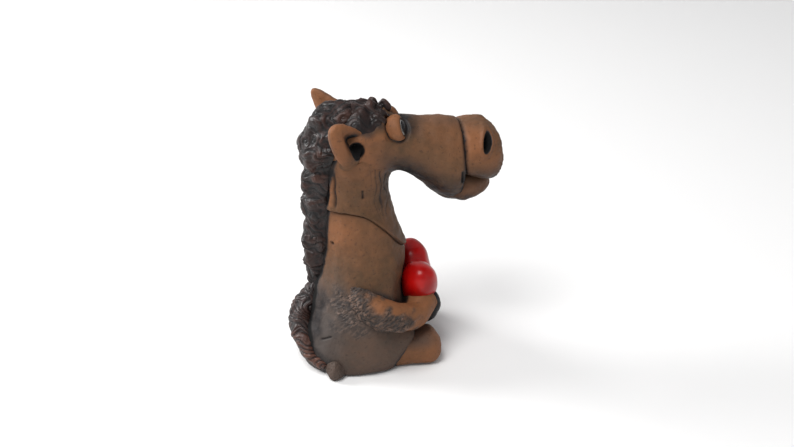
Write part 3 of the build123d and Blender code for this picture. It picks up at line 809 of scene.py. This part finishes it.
def makeEar(side):
    s = earSizes
    angle, t = sweep(150, 130, low=s["leafAt"][0])
    along = np.array(s["alongRight" if side < 0 else "alongLeft"])
    facing = unit(np.array(s["facing"]) - along * (np.dot(s["facing"], along) / np.dot(along, along)))
    across = unit(np.cross(along, facing))
    # a blunt leaf, slimmer on the left: its outer face is hollowed near the upper edge, deepest at the root
    size = np.maximum(smoothCurve(s["leafAt"], s["leafSize"], t), 0.0)
    if side > 0:
        size = size * (1 - 0.3 * rise(t, 0.3, 0.85))
    wide = s["halfWidth"] * size * np.cos(angle)
    outer = rise(np.sin(angle), -0.05, 0.5)
    hollow = bump(np.cos(angle) - 0.24, 0.34 + 0.2 * rise(t, 0.6, 0.0))
    scoop = outer * hollow * rise(t, -0.16, 0.06) * rise(t, 0.86, 0.3)
    thick = s["halfThick"] * size**0.7 * np.sin(angle) - s["scoop"] * scoop * size
    middle = np.array(s["root"]) + along * t[..., None]
    p = middle + across * wide[..., None] + facing * thick[..., None]
    pit = np.hypot((t - s["pit"]) * 19.0, wide - 1.6)
    p = p - facing * (1.2 * outer * rise(pit, 3.2, 1.2) + 4.0 * rise(t, 0.06, -0.28))[..., None]
    # the upper edge runs on over the head as a fold
    fold = rise(np.cos(angle), 0.25, 0.9) * rise(t, 0.9, 0.6)
    lift = np.clip(2.0 * rise(t, -0.05, 0.4) - 0.3 - offHead(p), 0, 5)
    p = p + unit((0.0, -0.75, 0.66)) * (fold * lift)[..., None]
    n = normals(p)
    root = swell(p, n, lambda q: np.minimum(offHead(q), offTorso(q)), 5.0)
    root = root * (1 - np.clip(1.5 * scoop, 0, 1)) * rise(np.cos(angle), 0.15, -0.35)
    p = p + n * (claySurface(p, 0.5, 111) + root)[..., None]
    # painted shade in the hollow, in the pit and under the fold
    stainAndShade = 1.1 * scoop * rise(t, 0.72, 0.3) + 1.5 * outer * rise(pit, 4.0, 2.8)
    stainAndShade = stainAndShade + 1.5 * rise(fromPit(p, -1), 3.6, 3.0)
    stainAndShade = stainAndShade + 0.8 * outer * bump(np.cos(angle) - 0.52, 0.26) * rise(t, -0.1, 0.05) * rise(t, 0.6, 0.3)
    warm = 0.75 * rise(t, -0.2, 0.35) * (1 - 0.5 * scoop)
    # a grey painted highlight along the upper edges of the leaf
    grey = 0.4 * rise(np.abs(np.cos(angle)), 0.93, 1.0) * rise(t, 0.3, 0.7)
    marks = trimmed({"stainAndShade": stainAndShade, "warm": warm, "grey": grey})
    sidedPiece("ear", "ear", side, p, clay, marks)


makeHead()
makeMuzzle()
makeLip()
for side in (-1, 1):
    makeEar(side)
print("head ready")


# eyes

def ballGrid(centre, radius, axis, columns=96, rows=64, low=0.0, high=np.pi):
    # sphere round an axis: angle round it, and angle down from its pole
    axis = unit(axis)
    side = unit(np.cross(axis, (0.1, 0.3, 1.0)))
    third = np.cross(axis, side)
    turn = roundTurn(columns)[..., None]
    down = np.linspace(low, high, rows)[None, :, None]
    ray = axis * np.cos(down) + (side * np.cos(turn) + third * np.sin(turn)) * np.sin(down)
    return np.asarray(centre) + ray * radius, down[..., 0]


def flattened(points, centre, side):
    # the eye lies flat and is taller than long: its height off the head and its length are pressed in
    s = headSizes
    out = np.array(s["eyeOut"]) * np.array([1, side, 1])
    rel = points - centre
    rel = rel - out * ((rel @ out) * (1 - s["eyeFlat"]))[..., None]
    lean = np.radians(s["eyeLean"])
    slim = np.array([np.cos(lean), 0, np.sin(lean)])
    return centre + rel - slim * ((rel @ slim) * (1 - s["eyeSlim"]))[..., None]


def makeEye(side):
    # ball, pupil and lid are parts of spheres round one centre, pressed flat together
    s = headSizes
    label = "Right" if side < 0 else "Left"
    centre = eyeCentre(side)

    def addPart(name, points, material, marks=None):
        # pressed to the eye's shape, with its rounds turned so that faces point outwards
        marks = {k: v[::-1] for k, v in (marks or {}).items()}
        makePiece(name + label, flattened(points, centre, side)[::-1], material, marks=marks,
                  replaced=[f"{name}_{label.lower()}"])

    ball, _ = ballGrid(centre, s["eyeBall"], (1, 0, 0), low=0.01, high=np.pi - 0.01)
    addPart("eyeball", ball, whiteGlaze)
    # the pupil is a low lens that looks forward and a little outwards
    look = unit((1.0, side * 0.42, 0.32))
    lens, _ = ballGrid(centre, s["eyeBall"] + 0.32, look, 64, 24, 0.02, 0.66)
    inner, _ = ballGrid(centre, s["eyeBall"] - 0.4, look, 64, 4, 0.66, 0.3)
    addPart("pupil", np.concatenate([lens, inner], 1), blackGlaze)
    # the lid wraps the ball from behind and leaves a round window in front, with a thinner edge there
    pad, down = ballGrid(centre, 1.0, -look, 120, 80, 0.01, s["window"])
    thick = s["eyeBall"] + s["lid"] * (1.05 - 0.3 * rise(down, s["window"] - 0.3, s["window"]))
    outer = centre + (pad - centre) * thick[..., None]
    outer = outer + (pad - centre) * (0.08 * waves(outer, 4.0, 131))[..., None]
    turnedIn = 20
    inner = centre + (pad[:, ::-1][:, :turnedIn] - centre) * (s["eyeBall"] - 0.3)
    grid = np.concatenate([outer, inner], 1)
    edge = np.concatenate([rise(down, s["window"] - 0.14, s["window"]), np.ones((1, turnedIn))], 1)
    edge = np.broadcast_to(edge, grid.shape[:2])
    # the edge of the window is dark, and the left lid carries painted shade from the forelock
    marks = {"stainAndShade": 0.75 * edge + (0.3 if side > 0 else 0.0), "warm": 0.75 * (1 - edge)}
    addPart("eyelid", grid, clay, marks)


for side in (-1, 1):
    makeEye(side)
print("eyes ready")


# mane, forelock and tail

def makeMane():
    s = maneSizes
    place, along, at, knots = pathFrame(s["path"], 330)
    wide = smoothCurve(knots, s["halfWidth"], at)[None, :]
    proud = smoothCurve(knots, s["proud"], at)[None, :]
    angle = roundTurn(220)
    across = np.array([0, 1.0, 0])
    outward = np.cross(across, along)
    outward = outward * np.sign(-outward[len(outward) // 2, 0])
    # a thick strip: round outside, flat where it lies on the neck, with round ends
    ends = domed(np.minimum(at, at[-1] - at), 3.2)[None, :]
    # the main locks: it swells at each one and draws in between, as overlapping balls do
    middles = np.linspace(0, at[-1], s["locks"])
    balls = np.sqrt(np.clip(1 - ((at[:, None] - middles) / s["lockHalf"]) ** 2, 0, 1)).max(1)[None, :]
    wide = wide * (0.4 + 0.6 * balls)
    proud = proud * balls
    up = np.sin(angle)
    height = np.where(up > 0, proud * np.abs(up) ** 0.85, 2.4 * up) * ends
    y = wide * np.cos(angle) * ends
    p = place[None] + across * y[..., None] + outward[None] * (height - y**2 / (2 * s["wrap"]))[..., None]
    n = normals(p)
    # locks lie across the mane, slanting back from the neck, each with finer strands
    lean = np.abs(np.cos(angle)) * 5.5
    warp = 1.6 * waves(p, 9.0, 141) + 0.7 * waves(p, 4.0, 142)
    lock = (at[None, :] + lean + warp) / s["pitch"]
    fold = np.abs(np.sin(np.pi * lock))
    strand = np.abs(np.sin(np.pi * lock * 3.3 + 1.2 * waves(p, 5.0, 143)))
    outer = rise(up, -0.15, 0.25)
    lump = waves(p, 6.5, 144)
    d = outer * (s["ridge"] * (fold**0.7 - 0.55) * (0.75 + 0.35 * lump) + 0.22 * (strand - 0.5) + 0.35 * lump)
    p = p + n * d[..., None]
    ridge = np.clip((fold - 0.35) * 1.2, 0, 1) * (0.55 + 0.45 * strand) * outer
    warm = 0.35 * bump(np.abs(np.cos(angle)) - 0.85, 0.3) * rise(lump, 0.3, 1.2) * outer
    makePiece("maneLocks", p, hair, marks={"ridge": ridge, "warm": warm},
              replaced=["mane"])


forelockSizes = {
    "rise": 2.3, "from": -4.0, "to": 15.4, "lap": 1.14, "tufts": 7,
    "spikes": ((14.3, 0.12, 2.7), (10.9, 0.28, 1.5), (12.4, -0.2, 1.7), (8.4, -0.04, 1.3), (9.8, -0.48, 1.4),
               (12.2, 0.5, 1.6), (6.2, 0.3, 1.3), (5.4, -0.3, 1.2)),
}


def makeForelock():
    s = forelockSizes
    # a pad over the forehead: side goes across it, turn goes round from its fringe over the top to its back
    turn, side = sweep(200, 150, low=-1)
    fringe = np.abs(np.sin(s["tufts"] * 1.57 * side + 0.6)) ** 0.8
    frontX = s["to"] - 8.5 * side**2 + 2.0 * (fringe - 0.5) * (1 - 0.7 * np.abs(side))
    backX = s["from"] + 1.5 * side**2
    x = (frontX + backX) / 2 + (frontX - backX) / 2 * np.cos(turn)
    base = headPoint(x, side * s["lap"])
    out = unit(base - np.stack([x, 0 * x, headShape(x)[0]], -1))
    up = np.sin(turn)
    ends = np.clip(1 - side**2, 0, 1) ** 0.7
    thick = np.where(up > 0, s["rise"] * np.abs(up) ** 0.7 * ends, 1.2 * up * ends)
    # stiff tufts stand up near the fringe
    for frontAt, sideAt, tall in s["spikes"]:
        cone = np.clip(1 - np.hypot((x - frontAt) / 2.3, (side - sideAt) / 0.2), 0, 1)
        thick = thick + tall * cone * rise(up, 0.0, 0.4)
    p = base + out * thick[..., None]
    n = normals(p)
    # strands run from the back to the fringe and part in tufts, deepest near the fringe
    warp = 0.12 * waves(base, 8.0, 151)
    tuft = np.abs(np.sin(s["tufts"] * 1.57 * (side + warp) + 0.6))
    strand = np.abs(np.sin(s["tufts"] * 4.6 * (side + warp) + 1.6 * waves(base, 7.0, 152)))
    lump = waves(base, 5.0, 153)
    outer = rise(up, 0.0, 0.35) * ends
    deep = (0.35 + 0.9 * rise(x, 3.0, 11.0)) * (1.1 - 0.8 * np.abs(side))
    d = outer * deep * (tuft**0.8 - 0.6 + 0.26 * (strand - 0.5) + 0.5 * lump)
    p = p + n * np.where(np.abs(side) > 0.985, 0, d)[..., None]
    ridge = np.clip(tuft * (0.5 + 0.5 * strand), 0, 1) * outer
    warm = 0.25 * rise(lump, 0.4, 1.4) * outer
    makePiece("forelockTufts", p, hair, marks={"ridge": ridge, "warm": warm},
              replaced=["forelock"])


def limbGrid(sizes, hint, columns, rows, capA=2.5, capB=2.5):
    # a round bar carried along a smooth path, with rounded ends; its angles start on the side of hint
    place, along, at, knots = pathFrame(sizes["path"], rows)
    half = smoothCurve(knots, sizes["half"], at) * domed(at, capA) * domed(at[-1] - at, capB)
    angle = roundTurn(columns)
    first = unit(hint - along * (along @ np.array(hint))[:, None])
    second = np.cross(along, first)
    p = place + first * (half * np.cos(angle))[..., None] + second * (half * np.sin(angle))[..., None]
    return p, at, angle


def makeTail():
    # a bar that thins towards its tip
    s = tailSizes
    p, at, angle = limbGrid(s, (-1, 0, 0), 200, 260)
    n = normals(p)
    # strands sweep outwards and back in a fan, finer than the mane's
    warp = 0.8 * waves(p, 8.0, 161)
    fan = (at * 0.62 + 2.6 * np.cos(angle) + warp) / 1.55
    strand = np.abs(np.sin(np.pi * fan))
    fine = np.abs(np.sin(np.pi * fan * 2.7 + waves(p, 4.0, 162)))
    lump = waves(p, 6.0, 163)
    d = 0.55 * (strand**0.7 - 0.5) + 0.2 * (fine - 0.5) + 0.35 * lump
    low = rise(at, 20.0, 34.0)
    ridge = np.clip(strand * (0.5 + 0.5 * fine), 0, 1)
    warm = np.clip(0.8 * low * strand + 0.3 * rise(lump, 0.4, 1.3), 0, 1)
    p = p + n * d[..., None]
    p[..., 2] = np.maximum(p[..., 2], 0.05)
    makePiece("tailHair", p, hair, marks={"ridge": ridge, "warm": warm},
              replaced=["tail"])


tipSizes = {"centre": (-10.4, -22.6, 3.6), "radius": 4.1}


def makeTailTip():
    # the lump at the tail's end: a dented ball, flat below
    s = tipSizes
    p, _ = ballGrid(s["centre"], s["radius"], (0, 0, 1), 110, 80, 0.02, np.pi - 0.02)
    d = 0.34 * waves(p, 6.5, 171) + 0.14 * strokes(p, (0.3, 0.2, 1.0), 3.0, 0.8, 172)
    p = p + (p - s["centre"]) / s["radius"] * d[..., None]
    p[..., 2] = np.maximum(p[..., 2], 0.02)
    one = np.ones(p.shape[:2])
    marks = {"stainAndShade": 0.12 * one, "warm": 0.15 * one, "grey": 0.75 * one}
    makePiece("tailTip", p[::-1], clay, marks=marks, replaced=["tail_tip"])


makeMane()
makeForelock()
makeTail()
makeTailTip()
print("hair ready")


# arms, legs and heart

def makeArm(side):
    # a bar that reaches round the torso, furry above and smooth at the hand
    s = armSizes
    p, at, angle = limbGrid(s, (0, 0, 1), 190, 260, 3.0, 2.2)
    n = normals(p)
    share = at / at[-1] + 0.03 * waves(p, 6.0, 180)
    fur = 1 - rise(share, s["furEnd"] - 0.1, s["furEnd"] + 0.08)
    # the upper side of the forearm is smoothed
    fur = fur * (1 - rise(np.cos(angle) + 0.12 * waves(p, 5.0, 184), 0.35, 0.8) * rise(share, 0.22, 0.36))
    brushed = strokes(p, (0.8, 0.0, 0.55), 3.0, 1.0, 181)
    clump = waves(p, 3.2, 182)
    d = claySurface(p, 0.7, 183) + fur * (0.24 * brushed + 0.22 * clump)
    # painted shade where the arm lies close to the torso, and on its low parts
    stainAndShade = 0.85 * rise(offTorso(p), 1.6, 0.2) * rise(at / at[-1], 0.25, 0.45)
    stainAndShade += 0.3 * rise(p[..., 2], 19.0, 14.5)
    warm = 0.7 * (1 - fur) + 0.35 * fur * rise(clump, 0.4, 1.2)
    for place in s["dots"]:
        dot = away(p, place)
        d += -0.35 * bump(dot, 0.7)
        stainAndShade += 0.5 * bump(dot, 0.8)
    marks = trimmed({"stainAndShade": stainAndShade, "warm": warm, "grey": 0.3 * fur, "fur": fur}, top=1)
    sidedPiece("arm", "arm", side, p + n * d[..., None], clay, marks)


hoofSizes = {
    "path": ((25.4, -10.2, 22.0), (26.4, -8.4, 21.6), (27.4, -6.6, 21.2), (28.2, -5.1, 21.0)),
    "half": (7.7, 8.6, 8.7, 7.8),
}


def makeHoof(side):
    # a short barrel at the end of the arm
    p, _, _ = limbGrid(hoofSizes, (0, 0, 1), 130, 90, 2.0, 2.6)
    p = p + normals(p) * (0.14 * waves(p, 6.0, 191) + 0.04 * waves(p, 1.8, 192))[..., None]
    sidedPiece("frontHoof", "front_hoof", side, p, hoofGlaze)


def makeLeg(side):
    s = legSizes
    p, at, angle = limbGrid(s, (0, 0, 1), 170, 170, 3.0, 5.0)
    # a round bar that is fuller at four corners, and flat below
    corners = s["square"] * np.sin(2 * angle) ** 2 * rise(at, 2.0, 9.0) * rise(at[-1] - at, 0.0, 6.0)
    p = p + normals(p) * (claySurface(p, 0.8, 201) + corners)[..., None]
    p[..., 2] = np.maximum(p[..., 2], 0.03)
    close = offTorso(p) - seatSwell(p)
    # painted shade at the foot where it meets the table, dark along the seam with the torso, and grey painted
    # shade on the upper back of the leg
    marks = trimmed({
        "stainAndShade": 0.45 * rise(p[..., 2], 2.5, 0.0) + rise(close, 1.0, 0.3),
        "warm": 0.4 + 0.3 * rise(p[..., 0], 20.0, 32.0),
        "grey": 0.6 * rise(p[..., 2], 7.0, 12.5) * rise(p[..., 0], 36.0, 26.0),
    }, top=1)
    sidedPiece("leg", "leg", side, p, clay, marks)


def tilted(p, degrees):
    # turned about the way the horse faces
    a = np.radians(degrees)
    return p @ np.array([[1, 0, 0], [0, np.cos(a), -np.sin(a)], [0, np.sin(a), np.cos(a)]]).T


def makeHeart():
    s = heartSizes
    ray, _ = ballGrid((0, 0, 0), 1.0, (0, 0, 1), 190, 150, 0.01, np.pi - 0.01)
    # distance from the middle to each lobe's skin along a ray; the two blend at the crease
    reach = []
    for side in (-1, 1):
        lean = s["lean"] * side
        q = tilted(ray, lean) / s["half"]
        o = tilted(np.array([0, -side * s["spread"], 0]), lean) / s["half"]
        a, b, c = (q * q).sum(-1), (q * o).sum(-1), (o * o).sum() - 1
        reach.append((-b + np.sqrt(np.maximum(b * b - a * c, 0))) / a)
    far = np.logaddexp(reach[0] * s["soft"], reach[1] * s["soft"]) / s["soft"] - 0.12
    p = tilted(ray * far[..., None], s["roll"]) + s["centre"]
    p = p - normals(p) * (0.18 * waves(p, 9.0, 211))[..., None]
    makePiece("heartLobes", p[::-1], redGlaze, replaced=["heart"])


for side in (-1, 1):
    makeArm(side)
    makeHoof(side)
    makeLeg(side)
makeHeart()
print("limbs and heart ready")


# the disc under the seat keeps its solid and gets the clay

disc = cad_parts["base_disc"]
disc.data.materials.clear()
disc.data.materials.append(clay)


# stage, light and camera

stageLook = {
    "floor": (243, 242, 241), "span": 4.0, "front": -4.0, "back": 0.9, "corner": 0.35, "wall": 1.2,
    "lamps": (("keyLamp", (-0.32, -0.30, 0.92), 0.55, 7.6), ("fillLamp", (0.75, -0.75, 0.35), 0.8, 0.6),
              ("rimLamp", (-0.65, 0.35, 0.45), 0.4, 6.0)),
    "aim": (0.01, 0, 0.06), "sky": (0.95, 0.97, 1.0, 1), "world": 0.36,
}


def makeFloor():
    # a level sheet that bends up into a wall behind: shares of its rows are level, bent and upright
    s = stageLook
    rows, level, bent = 60, 0.55, 0.75
    run = np.linspace(0, 1, rows)
    bend = np.clip((run - level) / (bent - level), 0, 1) * np.pi / 2
    ahead = s["front"] + (s["back"] - s["front"]) * run / level
    y = np.where(run < level, ahead, s["back"] + s["corner"] * np.sin(bend))
    z = s["corner"] * (1 - np.cos(bend)) + np.clip((run - bent) / (1 - bent), 0, 1) * s["wall"]
    x = np.linspace(-s["span"], s["span"], 3)
    verts = np.stack([np.tile(x, rows), np.repeat(y, 3), np.repeat(z, 3)], -1)
    k = np.arange(rows - 1)[:, None] * 3 + np.arange(2)[None]
    faces = np.stack([k, k + 1, k + 4, k + 3], -1).reshape(-1, 4)
    mesh = bpy.data.meshes.new("floor")
    mesh.from_pydata(verts.tolist(), [], faces.tolist())
    mesh.polygons.foreach_set("use_smooth", np.ones(len(faces), bool))
    material, shader, place = newMaterial("paleFloor")
    place.fill(shader, Base_Color=rgba(*s["floor"]), Roughness=0.9, Specular_IOR_Level=0.1)
    mesh.materials.append(material)
    obj = bpy.data.objects.new("floor", mesh)
    bpy.context.scene.collection.objects.link(obj)


def makeLight():
    # round lamps that all point at the horse, in a pale sky
    s = stageLook
    for name, place, size, power in s["lamps"]:
        lamp = bpy.data.lights.new(name, "AREA")
        lamp.shape = "DISK"
        lamp.size = size
        lamp.energy = power
        obj = bpy.data.objects.new(name, lamp)
        obj.location = place
        obj.rotation_euler = (Vector(s["aim"]) - Vector(place)).to_track_quat("-Z", "Y").to_euler()
        bpy.context.scene.collection.objects.link(obj)
    world = bpy.data.worlds.new("studio")
    bpy.context.scene.world = world
    world.use_nodes = True
    sky = world.node_tree.nodes["Background"].inputs
    sky["Color"].default_value = s["sky"]
    sky["Strength"].default_value = s["world"]


cameraSizes = {
    "target": (0.01925, 0.0, 0.0546), "azimuth": -12.0, "elevation": 28.0, "distance": 0.529,
    "lens": 60.0, "sensor": 36.0,
}


def makeCamera():
    # looks at the target from a distance, by azimuth and elevation
    s = cameraSizes
    a, e = np.radians(s["azimuth"]), np.radians(s["elevation"])
    back = Vector((np.sin(a) * np.cos(e), -np.cos(a) * np.cos(e), np.sin(e)))
    lens = bpy.data.cameras.new("camera")
    lens.lens = s["lens"]
    lens.sensor_width = s["sensor"]
    lens.clip_start = 0.01
    obj = bpy.data.objects.new("camera", lens)
    obj.location = Vector(s["target"]) + back * s["distance"]
    obj.rotation_euler = (-back).to_track_quat("-Z", "Y").to_euler()
    bpy.context.scene.collection.objects.link(obj)
    bpy.context.scene.camera = obj


makeFloor()
makeLight()
makeCamera()
bpy.context.scene.view_settings.view_transform = "Standard"
print("stage ready")

bpy.context.view_layer.update()
